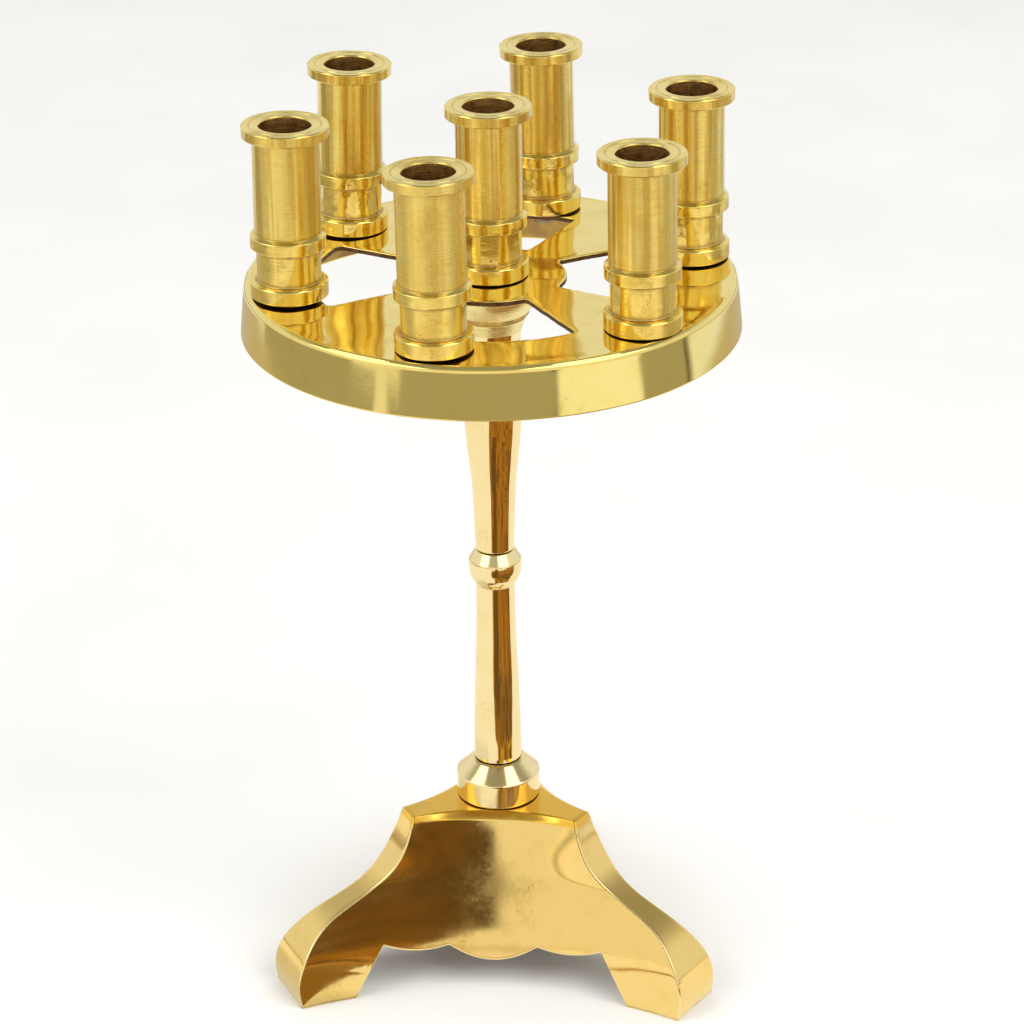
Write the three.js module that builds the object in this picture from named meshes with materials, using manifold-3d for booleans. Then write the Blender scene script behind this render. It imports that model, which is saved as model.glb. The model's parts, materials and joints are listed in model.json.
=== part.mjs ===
// Table stand with seven candle sockets: a hollow three-legged foot, a turned column,
// a round pierced plate with a turned-down rim, and six sockets round a seventh.
// Millimetres, +Z up. The origin is on the floor, under the middle of the column.
// One leg points along +Y, so that a concave panel of the foot faces -Y.
import * as THREE from "three";
import { mergeVertices } from "three/addons/utils/BufferGeometryUtils.js";
import Module from "manifold-3d";

const wasm = await Module();
wasm.setup();

const DEG = Math.PI / 180;

// Clearances between pieces
const SEAT_GAP = 0.3;
const THIN_GAP = 0.1;

// Tie rod, which holds the foot, the column, the plate and the centre socket together
const ROD_RADIUS = 2.45;
const ROD_HOLE = ROD_RADIUS + SEAT_GAP;
const ROD_BOTTOM = 33;
const ROD_ENGAGEMENT = 9;

// Foot
const FOOT_TOP = 44.9;
const FOOT_WALL = 2.6;
const FOOT_TOP_WALL = 3.2;
const FOOT_RINGS = 15;
const LEG_ANGLES = [90, 210, 330];
// Outer end of a leg: height, distance from the axis and width across
const LEG_HEIGHTS = [0, 6, 12, 17, 22, 26, 31, 37, FOOT_TOP];
const LEG_REACH_AND_WIDTH = [
  60.7, 16.8,
  61.3, 16.2,
  59.5, 15.0,
  55.8, 11.8,
  49.0, 8.2,
  40.5, 7.0,
  33.2, 8.4,
  29.0, 8.8,
  25.8, 6.3,
];
const PANEL_STEPS = 8;
const PANEL_DEPTH_TOP = 12.1;
const PANEL_DEPTH_KNEE = 25;
const PANEL_DEPTH_FLOOR = 25.7;
const PANEL_KNEE = 8;
// Scalloped lower edge of a panel: half-widths and heights
const ARCH_FOOT_HALF = 35;
const ARCH_SHOULDER_HALF = 28.2;
const ARCH_SHOULDER = 13.2;
const ARCH_CUSP_HALF = 11.4;
const ARCH_CUSP = 12.1;
const ARCH_SIDE_LOBE_SAG = 2.6;
const ARCH_LOBE_TIP = 8.2;
const ARCH_INNER = 17;

// Nut and washer inside the foot
const WASHER_RADIUS = 7.5;
const WASHER_THICK = 1.2;
const NUT_RADIUS = 4.6;
const NUT_THICK = 4;

// Column: heights above the floor and radii
const COLLAR_RADIUS = 10.8;
const COLLAR_EDGE = 51.8;
const COLLAR_TOP = 55.6;
const COLLAR_TOP_RADIUS = 6.5;
const KNOP_TOP = 115.2;
const COLUMN_SIDES = 24;

// Plate
const PLATE_TOP = 189;
const PLATE_SHEET = 1.3;
const PLATE_BOTTOM = 176.1;
const PLATE_RADIUS = 60;
const PLATE_FLARE = 1.3;
const PLATE_EDGE = 0.9;
const RIM_THICK = 1.6;
const PLATE_SIDES = 72;
const WINDOW_INNER = 18.5;
const WINDOW_OUTER = 43.5;
const WINDOW_HALF_ANGLE = 28.5 * DEG;
const WINDOW_CORNER = 1.6;
const WINDOW_START = 3.5;
const WINDOW_COUNT = 4;

// Sockets
const SOCKET_SIDES = 24;
const SOCKET_BORE = 6.2;
const SOCKET_HEIGHT = 42.4;
const BORE_FLOOR = 14.4;
const SCREW_HOLE_DEPTH = 10;
const SOCKET_RIM = 10.48;
const SOCKET_RIM_THICK = 2.7;
const SOCKET_FLANGE = 9.35;
const SOCKET_FLANGE_THICK = 3.7;
const SOCKET_BODY = 8.05;
const SOCKET_WAIST = 7.7;
const MIDDLE_RING = 9.1;
const MIDDLE_RING_BOTTOM = 12.2;
const MIDDLE_RING_TOP = 15.9;
const SPACER_RADIUS = 6.8;
const SPACER_THICK = 0.3;
// The ring sockets, set by hand: name, angle about the column, distance from it, and
// lean towards +X in degrees
const RING_SOCKETS = [
  ["right", 17.2, 50.6, -0.4],
  ["back_right", 78.6, 49.8, -0.8],
  ["back_left", 140.4, 49.2, 1.2],
  ["left", 199.5, 49.8, 0.6],
  ["front_left", 259.4, 49.1, -0.7],
  ["front_right", 319.2, 50.8, -0.5],
];

// Socket screws
const SCREW_RADIUS = 1.9;
const SCREW_HOLE = SCREW_RADIUS + SEAT_GAP;
const SCREW_HEAD_RADIUS = 3.4;
const SCREW_HEAD_THICK = 2.4;
const SCREW_SLOT_WIDTH = 0.9;
const SCREW_SLOT_DEPTH = 1.1;
const SCREW_SIDES = 16;

// Solid with the outline [radius, height] turned round Z. The outline runs anticlockwise
// as seen with the axis on the left, and starts and ends on the axis or closes on itself.
function turned(outline, sides) {
  const points = outline.map(([radius, height]) => new THREE.Vector2(radius, height));
  return new THREE.LatheGeometry(points, sides).rotateX(Math.PI / 2);
}

function closed(outline) {
  return [...outline, outline[0]];
}

function toSolid(geometry) {
  const bare = geometry.clone();
  bare.deleteAttribute("normal");
  bare.deleteAttribute("uv");
  const merged = mergeVertices(bare, 1e-4);
  return new wasm.Manifold(
    new wasm.Mesh({
      numProp: 3,
      vertProperties: merged.attributes.position.array,
      triVerts: new Uint32Array(merged.index.array),
    }),
  );
}

function toGeometry(solid) {
  const mesh = solid.getMesh();
  const geometry = new THREE.BufferGeometry();
  geometry.setAttribute("position", new THREE.BufferAttribute(mesh.vertProperties, 3));
  geometry.setIndex(new THREE.BufferAttribute(mesh.triVerts, 1));
  geometry.computeVertexNormals();
  return geometry;
}

function cutFrom(geometry, tools) {
  let solid = toSolid(geometry);
  for (const tool of tools) {
    solid = solid.subtract(toSolid(tool));
  }
  return toGeometry(solid);
}

// Upright cylinder, or a prism with few sides, between two heights
function upright(radius, x, y, bottom, top, sides = 20) {
  const column = new THREE.CylinderGeometry(radius, radius, top - bottom, sides);
  return column.rotateX(Math.PI / 2).translate(x, y, (bottom + top) / 2);
}

const brass = (color, roughness) =>
  new THREE.MeshStandardMaterial({ color, roughness, metalness: 1 });
const POLISHED = () => brass(0xe2b54a, 0.12);
const SATIN = () => brass(0xd0a23c, 0.3);
const CAST = () => brass(0xc99a3a, 0.25);
const STEEL = () => brass(0xb8b8b4, 0.35);

const stand = new THREE.Group();

function place(name, geometry, material, parent = stand) {
  const mesh = new THREE.Mesh(geometry, material);
  mesh.name = name;
  parent.add(mesh);
  return mesh;
}

// --- Foot ---------------------------------------------------------------------------

const legCurve = new THREE.CubicInterpolant(LEG_HEIGHTS, LEG_REACH_AND_WIDTH, 2);

function legAt(height) {
  const clamped = THREE.MathUtils.clamp(height, 0, FOOT_TOP);
  const [reach, width] = legCurve.evaluate(clamped);
  return { reach, width };
}

// Distance from the axis to the middle of a concave panel
function panelDepth(height) {
  if (height < PANEL_KNEE) {
    return THREE.MathUtils.mapLinear(height, 0, PANEL_KNEE, PANEL_DEPTH_FLOOR, PANEL_DEPTH_KNEE);
  }
  return THREE.MathUtils.mapLinear(
    height, PANEL_KNEE, FOOT_TOP, PANEL_DEPTH_KNEE, PANEL_DEPTH_TOP,
  );
}

// Section of the foot at a height, taken in by the wall's thickness where wall is over 0
function footSection(height, wall) {
  const step = 0.5;
  const { reach, width } = legAt(height);
  const slope = (legAt(height + step).reach - legAt(height - step).reach) / (2 * step);
  const legReach = reach - wall * Math.hypot(1, slope);
  const halfWidth = width / 2 - wall;
  const middle = panelDepth(height) - wall;
  const endDepth = legReach * Math.cos(60 * DEG) + halfWidth * Math.sin(60 * DEG);
  const endSide = legReach * Math.sin(60 * DEG) - halfWidth * Math.cos(60 * DEG);
  const sagitta = endDepth - middle;
  const radius = (endSide ** 2 + sagitta ** 2) / (2 * sagitta);
  const sweep = Math.asin(endSide / radius);
  const points = [];
  for (const leg of LEG_ANGLES) {
    const normal = (leg + 60) * DEG;
    for (let i = 0; i <= PANEL_STEPS; i++) {
      const turn = THREE.MathUtils.lerp(-sweep, sweep, i / PANEL_STEPS);
      const depth = middle + radius - radius * Math.cos(turn);
      const side = radius * Math.sin(turn);
      points.push(new THREE.Vector3(
        depth * Math.cos(normal) - side * Math.sin(normal),
        depth * Math.sin(normal) + side * Math.cos(normal),
        height,
      ));
    }
  }
  return points;
}

// Closed solid through sections of equal point counts, from the lowest to the highest
function loft(sections) {
  const count = sections[0].length;
  const positions = sections.flat().flatMap((p) => [p.x, p.y, p.z]);
  const faces = [];
  for (let ring = 0; ring + 1 < sections.length; ring++) {
    for (let i = 0; i < count; i++) {
      const a = ring * count + i;
      const b = ring * count + ((i + 1) % count);
      faces.push(a, b, a + count, b, b + count, a + count);
    }
  }
  const bottom = positions.length / 3;
  positions.push(0, 0, sections[0][0].z);
  positions.push(0, 0, sections.at(-1)[0].z);
  const last = (sections.length - 1) * count;
  for (let i = 0; i < count; i++) {
    const next = (i + 1) % count;
    faces.push(bottom, next, i);
    faces.push(bottom + 1, last + i, last + next);
  }
  const geometry = new THREE.BufferGeometry();
  geometry.setAttribute("position", new THREE.Float32BufferAttribute(positions, 3));
  geometry.setIndex(faces);
  return geometry;
}

function footBody(bottom, top, wall) {
  const sections = [];
  for (let i = 0; i < FOOT_RINGS; i++) {
    sections.push(footSection(THREE.MathUtils.lerp(bottom, top, i / (FOOT_RINGS - 1)), wall));
  }
  return loft(sections);
}

// Point list of an arc through two ends that hangs down by sag in its middle
function hangingArc(from, to, sag, steps) {
  const points = [];
  for (let i = 1; i <= steps; i++) {
    const along = i / steps;
    const drop = 4 * sag * along * (1 - along);
    points.push([
      THREE.MathUtils.lerp(from[0], to[0], along),
      THREE.MathUtils.lerp(from[1], to[1], along) - drop,
    ]);
  }
  return points;
}

// Prism that cuts the scalloped lower edge of the panel whose normal is at an angle
function archCut(angle) {
  const below = -2;
  const shoulder = [-ARCH_SHOULDER_HALF, ARCH_SHOULDER];
  const cusp = [-ARCH_CUSP_HALF, ARCH_CUSP];
  const half = [
    [-ARCH_FOOT_HALF - 1, below],
    [-ARCH_FOOT_HALF, 0],
    shoulder,
    ...hangingArc(shoulder, cusp, ARCH_SIDE_LOBE_SAG - 1, 6),
  ];
  const mirrored = half.map(([side, height]) => [-side, height]).reverse();
  const tip = hangingArc(cusp, [ARCH_CUSP_HALF, ARCH_CUSP], ARCH_CUSP - ARCH_LOBE_TIP, 10);
  const outline = [...half, ...tip.slice(0, -1), ...mirrored];
  const shape = new THREE.Shape(outline.map(([side, height]) => new THREE.Vector2(side, height)));
  const prism = new THREE.ExtrudeGeometry(shape, { depth: PLATE_RADIUS, bevelEnabled: false });
  prism.rotateX(Math.PI / 2).rotateZ(Math.PI);
  prism.translate(0, ARCH_INNER, 0);
  return prism.rotateZ((angle - 90) * DEG);
}

function buildFoot() {
  const cuts = [footBody(-1, FOOT_TOP - FOOT_TOP_WALL, FOOT_WALL)];
  cuts.push(upright(ROD_HOLE, 0, 0, FOOT_TOP - 10, FOOT_TOP + 5));
  for (const leg of LEG_ANGLES) {
    cuts.push(archCut(leg + 60));
  }
  place("foot", cutFrom(footBody(0, FOOT_TOP, 0), cuts), CAST());
}

function buildFootFixings() {
  const washerTop = FOOT_TOP - FOOT_TOP_WALL - SEAT_GAP;
  const washerBottom = washerTop - WASHER_THICK;
  const washer = closed([
    [ROD_HOLE, washerBottom],
    [WASHER_RADIUS, washerBottom],
    [WASHER_RADIUS, washerTop],
    [ROD_HOLE, washerTop],
  ]);
  place("foot_washer", turned(washer, 20), STEEL());

  const nutTop = washerBottom - THIN_GAP;
  const nut = upright(NUT_RADIUS, 0, 0, nutTop - NUT_THICK, nutTop, 6);
  const thread = upright(ROD_HOLE, 0, 0, nutTop - NUT_THICK - 1, nutTop + 1);
  place("foot_nut", cutFrom(nut, [thread]), STEEL());
}

// --- Column -------------------------------------------------------------------------

function buildColumn() {
  const collarBottom = FOOT_TOP + SEAT_GAP;
  const collar = closed([
    [ROD_HOLE, collarBottom],
    [COLLAR_RADIUS, collarBottom],
    [COLLAR_RADIUS, COLLAR_EDGE],
    [COLLAR_TOP_RADIUS, COLLAR_TOP],
    [ROD_HOLE, COLLAR_TOP],
  ]);
  place("column_collar", turned(collar, COLUMN_SIDES), POLISHED());

  const lowerFoot = COLLAR_TOP + SEAT_GAP;
  const lower = closed([
    [ROD_HOLE, lowerFoot],
    [6.2, lowerFoot],
    [6.1, 63],
    [5.75, 76],
    [5.1, 93],
    [4.95, 104],
    [5.9, 107],
    [6.6, 109.6],
    [6.8, 112.3],
    [4.95, KNOP_TOP],
    [ROD_HOLE, KNOP_TOP],
  ]);
  place("lower_column", turned(lower, COLUMN_SIDES), POLISHED());

  const headTop = PLATE_TOP - PLATE_SHEET - SEAT_GAP;
  const upperFoot = KNOP_TOP + SEAT_GAP;
  const upper = closed([
    [ROD_HOLE, upperFoot],
    [4.95, upperFoot],
    [5.2, 124],
    [5.55, 133],
    [6.5, 141],
    [7.25, 149],
    [7.3, 160],
    [6.95, 171.5],
    [7.5, 175],
    [8.6, 178],
    [10.4, 181],
    [11.6, 184],
    [11.8, headTop],
    [ROD_HOLE, headTop],
  ]);
  place("upper_column", turned(upper, COLUMN_SIDES), POLISHED());

  const rodTop = PLATE_TOP + ROD_ENGAGEMENT;
  const rod = [
    [0, ROD_BOTTOM],
    [ROD_RADIUS, ROD_BOTTOM],
    [ROD_RADIUS, rodTop],
    [0, rodTop],
  ];
  place("tie_rod", turned(rod, 20), STEEL());
}

// --- Plate --------------------------------------------------------------------------

function polar(radius, angle) {
  return [radius * Math.cos(angle), radius * Math.sin(angle)];
}

// Opening between two radii and two radial sides, with small round corners
function windowCut(middle) {
  const low = middle - WINDOW_HALF_ANGLE;
  const high = middle + WINDOW_HALF_ANGLE;
  const innerTurn = WINDOW_CORNER / WINDOW_INNER;
  const outerTurn = WINDOW_CORNER / WINDOW_OUTER;
  const shape = new THREE.Shape();
  shape.moveTo(...polar(WINDOW_INNER + WINDOW_CORNER, low));
  shape.lineTo(...polar(WINDOW_OUTER - WINDOW_CORNER, low));
  shape.quadraticCurveTo(...polar(WINDOW_OUTER, low), ...polar(WINDOW_OUTER, low + outerTurn));
  shape.absarc(0, 0, WINDOW_OUTER, low + outerTurn, high - outerTurn);
  shape.quadraticCurveTo(
    ...polar(WINDOW_OUTER, high), ...polar(WINDOW_OUTER - WINDOW_CORNER, high),
  );
  shape.lineTo(...polar(WINDOW_INNER + WINDOW_CORNER, high));
  shape.quadraticCurveTo(...polar(WINDOW_INNER, high), ...polar(WINDOW_INNER, high - innerTurn));
  shape.absarc(0, 0, WINDOW_INNER, high - innerTurn, low + innerTurn, true);
  shape.quadraticCurveTo(
    ...polar(WINDOW_INNER, low), ...polar(WINDOW_INNER + WINDOW_CORNER, low),
  );
  const prism = new THREE.ExtrudeGeometry(shape, {
    depth: 2 * RIM_THICK + PLATE_SHEET,
    bevelEnabled: false,
    curveSegments: 8,
  });
  return prism.translate(0, 0, PLATE_TOP - PLATE_SHEET - RIM_THICK);
}

function buildPlate() {
  const underside = PLATE_TOP - PLATE_SHEET;
  const outline = [
    [0, underside],
    [PLATE_RADIUS - RIM_THICK, underside],
    [PLATE_RADIUS + PLATE_FLARE - RIM_THICK, PLATE_BOTTOM],
    [PLATE_RADIUS + PLATE_FLARE, PLATE_BOTTOM],
    [PLATE_RADIUS + 0.1, PLATE_TOP - PLATE_EDGE],
    [PLATE_RADIUS - PLATE_EDGE, PLATE_TOP],
    [0, PLATE_TOP],
  ];
  const cuts = [upright(ROD_HOLE, 0, 0, underside - 1, PLATE_TOP + 1)];
  for (let i = 0; i < WINDOW_COUNT; i++) {
    cuts.push(windowCut((WINDOW_START + (i * 360) / WINDOW_COUNT) * DEG));
  }
  for (const [, angle, distance] of RING_SOCKETS) {
    const [x, y] = polar(distance, angle * DEG);
    cuts.push(upright(SCREW_HOLE, x, y, underside - 1, PLATE_TOP + 1));
  }
  place("plate", cutFrom(turned(outline, PLATE_SIDES), cuts), POLISHED());
}

// --- Sockets ------------------------------------------------------------------------

// A socket's outline, from the top of its blind screw hole to the floor of its bore
function socketGeometry(holeRadius, base) {
  const chamfer = 0.4;
  const outline = [
    [0, SCREW_HOLE_DEPTH],
    [holeRadius, SCREW_HOLE_DEPTH],
    [holeRadius, 0],
    [SOCKET_FLANGE, 0],
    [SOCKET_FLANGE, SOCKET_FLANGE_THICK - chamfer],
    [SOCKET_FLANGE - chamfer, SOCKET_FLANGE_THICK],
    [SOCKET_WAIST, SOCKET_FLANGE_THICK],
    [SOCKET_WAIST, MIDDLE_RING_BOTTOM],
    [MIDDLE_RING, MIDDLE_RING_BOTTOM],
    [MIDDLE_RING, MIDDLE_RING_TOP - 1],
    [SOCKET_BODY, MIDDLE_RING_TOP],
    [SOCKET_BODY, SOCKET_HEIGHT - SOCKET_RIM_THICK],
    [SOCKET_RIM, SOCKET_HEIGHT - SOCKET_RIM_THICK],
    [SOCKET_RIM, SOCKET_HEIGHT - chamfer],
    [SOCKET_RIM - chamfer, SOCKET_HEIGHT],
    [SOCKET_BORE + chamfer, SOCKET_HEIGHT],
    [SOCKET_BORE, SOCKET_HEIGHT - chamfer],
    [SOCKET_BORE, BORE_FLOOR],
    [0, BORE_FLOOR],
  ];
  return turned(outline, SOCKET_SIDES).translate(0, 0, base);
}

function spacerGeometry(holeRadius, base) {
  const outline = closed([
    [holeRadius, base],
    [SPACER_RADIUS, base],
    [SPACER_RADIUS, base + SPACER_THICK],
    [holeRadius, base + SPACER_THICK],
  ]);
  return turned(outline, 16);
}

// Slotted pan-head screw that comes up through the plate, which lies lift below height 0
function screwGeometry(lift) {
  const headTop = -PLATE_SHEET - SEAT_GAP - lift;
  const headBottom = headTop - SCREW_HEAD_THICK;
  const tip = 2 * THIN_GAP + SPACER_THICK + SCREW_HOLE_DEPTH - 1;
  const outline = [
    [0, headBottom],
    [SCREW_HEAD_RADIUS - 1, headBottom],
    [SCREW_HEAD_RADIUS, headBottom + 0.9],
    [SCREW_HEAD_RADIUS, headTop],
    [SCREW_RADIUS, headTop],
    [SCREW_RADIUS, tip],
    [0, tip],
  ];
  const slot = new THREE.BoxGeometry(2 * SCREW_HEAD_RADIUS + 1, SCREW_SLOT_WIDTH, 2);
  slot.translate(0, 0, headBottom + SCREW_SLOT_DEPTH - 1);
  return cutFrom(turned(outline, SCREW_SIDES), [slot]);
}

function buildRingSocket(name, angle, distance, lean) {
  const [x, y] = polar(distance, angle * DEG);
  const lift = SPACER_RADIUS * Math.sin(Math.abs(lean) * DEG);
  const group = new THREE.Group();
  group.position.set(x, y, PLATE_TOP + lift);
  group.rotation.y = lean * DEG;
  stand.add(group);
  const socketBase = 2 * THIN_GAP + SPACER_THICK;
  place(`socket_${name}`, socketGeometry(SCREW_HOLE, socketBase), SATIN(), group);
  place(`spacer_${name}`, spacerGeometry(SCREW_HOLE, THIN_GAP), STEEL(), group);
  place(`screw_${name}`, screwGeometry(lift), STEEL(), group);
}

function buildCentreSocket() {
  const socketBase = PLATE_TOP + 2 * THIN_GAP + SPACER_THICK;
  place("socket_centre", socketGeometry(ROD_HOLE, socketBase), SATIN());
  place("spacer_centre", spacerGeometry(ROD_HOLE, PLATE_TOP + THIN_GAP), STEEL());
}

buildFoot();
buildFootFixings();
buildColumn();
buildPlate();
for (const [name, angle, distance, lean] of RING_SOCKETS) {
  buildRingSocket(name, angle, distance, lean);
}
buildCentreSocket();

export default stand;
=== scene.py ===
"""Brass stand with seven candle sockets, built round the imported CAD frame.

Lengths in the tables are millimetres and become metres with MM. The frame has +Z up and its
origin on the floor under the column. Each turned piece is made round its own axis.
"""

import json
import math
from contextlib import contextmanager

import bmesh
import bpy
import numpy as np
from mathutils import Matrix, Vector, geometry, noise


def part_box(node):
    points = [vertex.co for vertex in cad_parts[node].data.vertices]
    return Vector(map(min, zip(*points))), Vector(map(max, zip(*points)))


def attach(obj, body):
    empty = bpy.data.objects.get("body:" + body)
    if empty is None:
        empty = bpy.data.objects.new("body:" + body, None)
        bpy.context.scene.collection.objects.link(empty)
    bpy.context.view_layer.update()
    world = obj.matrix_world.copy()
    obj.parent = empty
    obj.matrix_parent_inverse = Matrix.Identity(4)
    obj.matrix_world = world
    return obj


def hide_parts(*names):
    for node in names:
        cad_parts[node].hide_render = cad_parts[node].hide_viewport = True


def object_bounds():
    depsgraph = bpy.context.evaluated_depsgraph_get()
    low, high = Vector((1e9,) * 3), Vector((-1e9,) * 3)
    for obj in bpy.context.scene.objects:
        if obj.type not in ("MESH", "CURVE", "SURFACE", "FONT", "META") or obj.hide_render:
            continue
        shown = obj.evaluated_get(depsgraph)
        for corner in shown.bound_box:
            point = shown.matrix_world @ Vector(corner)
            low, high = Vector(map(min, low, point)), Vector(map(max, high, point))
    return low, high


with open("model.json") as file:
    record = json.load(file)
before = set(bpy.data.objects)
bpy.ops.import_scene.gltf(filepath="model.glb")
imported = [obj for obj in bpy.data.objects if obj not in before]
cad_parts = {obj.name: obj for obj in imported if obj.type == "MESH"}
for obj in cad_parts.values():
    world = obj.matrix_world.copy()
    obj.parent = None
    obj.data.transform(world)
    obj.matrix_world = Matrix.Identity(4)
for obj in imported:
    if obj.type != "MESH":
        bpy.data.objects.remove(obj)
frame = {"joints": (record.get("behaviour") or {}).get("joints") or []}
cad_low, cad_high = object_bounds()

MM = 0.001
TAU = 2 * math.pi
ROD_HOLE, SCREW_HOLE = 2.75, 2.2
SHEET, SPACER_THICK = 1.3, 0.3


# ---------------------------------------------------------------- profiles and turned meshes


def turned_left(v):
    return np.array((-v[1], v[0]))


def spun(v, angle):
    c, s = math.cos(angle), math.sin(angle)
    return np.array((v[0] * c - v[1] * s, v[0] * s + v[1] * c))


def corner_arc(before, here, after, fillet):
    """Points of the rounding at a corner, and the turn there, over 0 at an outer corner."""
    a, b = here - before, after - here
    la, lb = np.linalg.norm(a), np.linalg.norm(b)
    a, b = a / la, b / lb
    turn = math.atan2(a[0] * b[1] - a[1] * b[0], a @ b)
    if fillet <= 0 or abs(turn) < 0.03:
        return [here], turn
    half = math.tan(abs(turn) / 2)
    cut = min(fillet * half, 0.45 * la, 0.45 * lb)
    start = here - a * cut
    centre = start + turned_left(a) * (cut / half) * math.copysign(1, turn)
    steps = max(2, math.ceil(abs(turn) / math.radians(20)))
    return [centre + spun(start - centre, turn * k / steps) for k in range(steps + 1)], turn


def rounded(corners, step, loop):
    """Rounds the corners (radius, height, fillet, zone) and divides the straight runs.

    Gives the points, the zone of the stretch after each, and how sharp the corner near each
    is: over 0 on an outer edge and under 0 in an inner one.
    """
    count = len(corners)
    at = [np.array(c[:2], float) for c in corners]
    points, zones, bends = [], [], []
    for i, corner in enumerate(corners):
        ends = not loop and i in (0, count - 1)
        here, after = at[i], at[(i + 1) % count]
        arc, turn = ([here], 0) if ends else corner_arc(at[i - 1], here, after, corner[2])
        for p in arc:
            points.append(p)
            zones.append(corner[3])
            bends.append(turn)
        if not loop and i == count - 1:
            break
        j = (i + 1) % count
        last = not loop and j == count - 1
        following = [at[j]] if last else corner_arc(here, at[j], at[(j + 1) % count], corners[j][2])[0]
        a, b = arc[-1], following[0]
        length = np.linalg.norm(b - a)
        inner = np.linspace(0, 1, max(1, math.ceil(length / step)) + 1)[1:-1]
        support = [0.08 / length, 1 - 0.08 / length] if length > 0.4 else []
        for t in sorted([*inner, *support]):
            points.append(a + (b - a) * t)
            zones.append(corner[3])
            bends.append(0.0)
    return np.array(points), zones, spread_bends(np.array(points), np.array(bends))


def spread_bends(points, bends, reach=0.55):
    """Carries each corner's sharpness a little way along the outline."""
    gaps = np.linalg.norm(points[:, None] - points[None], axis=2)
    near = np.exp(-((gaps / reach) ** 2))
    strongest = np.abs(near * bends[None]).argmax(axis=1)
    rows = np.arange(len(points))
    return near[rows, strongest] * bends[strongest] / (math.pi / 2)


def smooth_run(knots, count, fillet=0.0, zone=0):
    """Corners along a smooth curve through (radius, height) knots, by Catmull and Rom's rule."""
    k = np.array([knots[0], *knots, knots[-1]], float)
    k[0] = 2 * k[1] - k[2]
    k[-1] = 2 * k[-2] - k[-3]
    spans = len(knots) - 1
    made = []
    for t in np.linspace(0, spans, count):
        i = min(int(t), spans - 1)
        u = t - i
        p0, p1, p2, p3 = k[i : i + 4]
        p = 0.5 * (
            2 * p1
            + (p2 - p0) * u
            + (2 * p0 - 5 * p1 + 4 * p2 - p3) * u**2
            + (3 * p1 - p0 - 3 * p2 + p3) * u**3
        )
        made.append((p[0], p[1], fillet, zone))
    return made


def new_object(name, vertices, faces, materials, zones=None, marks=None):
    """Mesh object in metres from millimetres, with a material for each zone."""
    mesh = bpy.data.meshes.new(name)
    mesh.from_pydata((np.asarray(vertices, float) * MM).tolist(), [], faces)
    mesh.validate()
    for m in materials:
        mesh.materials.append(m)
    if zones is not None:
        mesh.polygons.foreach_set("material_index", zones)
    if marks is not None:
        layer = mesh.attributes.new("edge", "FLOAT", "POINT")
        layer.data.foreach_set("value", np.asarray(marks, np.float32))
    mesh.polygons.foreach_set("use_smooth", [True] * len(mesh.polygons))
    made = bpy.data.objects.new(name, mesh)
    bpy.context.scene.collection.objects.link(made)
    return made


def turned_piece(name, corners, materials, sides=96, step=1.2, loop=False, shape=None):
    """Turns an outline round Z. shape(points, outward) may move the points, in millimetres."""
    outline, zones, bends = rounded(corners, step, loop)
    count = len(outline)
    ahead = np.roll(outline, -1, axis=0) - np.roll(outline, 1, axis=0)
    if not loop:
        ahead[0], ahead[-1] = outline[1] - outline[0], outline[-1] - outline[-2]
    ahead /= np.linalg.norm(ahead, axis=1)[:, None]
    vertices, outward, marks, index = [], [], [], {}
    for j in range(sides):
        c, s = math.cos(TAU * j / sides), math.sin(TAU * j / sides)
        for i, (r, z) in enumerate(outline):
            if r < 1e-9 and j > 0:
                index[i, j] = index[i, 0]
                continue
            index[i, j] = len(vertices)
            vertices.append((r * c, r * s, z))
            outward.append((ahead[i][1] * c, ahead[i][1] * s, -ahead[i][0]))
            marks.append(bends[i])
    if shape:
        vertices = shape(np.array(vertices), np.array(outward))
    faces, face_zones = [], []
    for j in range(sides):
        k = (j + 1) % sides
        for i in range(count if loop else count - 1):
            n = (i + 1) % count
            ring = [index[i, j], index[i, k], index[n, k], index[n, j]]
            face = [v for v, old in zip(ring, ring[-1:] + ring[:-1]) if v != old]
            faces.append(face)
            face_zones.append(zones[i])
    return new_object(name, vertices, faces, materials, face_zones, marks)


def waves(points, size, seed, depth=2):
    """Slow noise from -1 to 1 at the points, whose features are about size millimetres."""
    move = Vector((seed * 7.31, seed * 3.17, seed * 5.77))
    return np.array(
        [noise.fractal(Vector(p) / size + move, 0.6, 2.0, depth) for p in np.asarray(points)]
    )


def hand_finish(amount, size, seed, low=-1e9, high=1e9):
    """Shape function for a surface that was filed and buffed by hand between two heights."""

    def shape(points, outward):
        z = points[:, 2]
        fade = np.clip((z - low) / 0.8, 0, 1) * np.clip((high - z) / 0.8, 0, 1)
        return points + outward * (amount * fade * waves(points, size, seed))[:, None]

    return shape


# ---------------------------------------------------------------- materials


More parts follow.
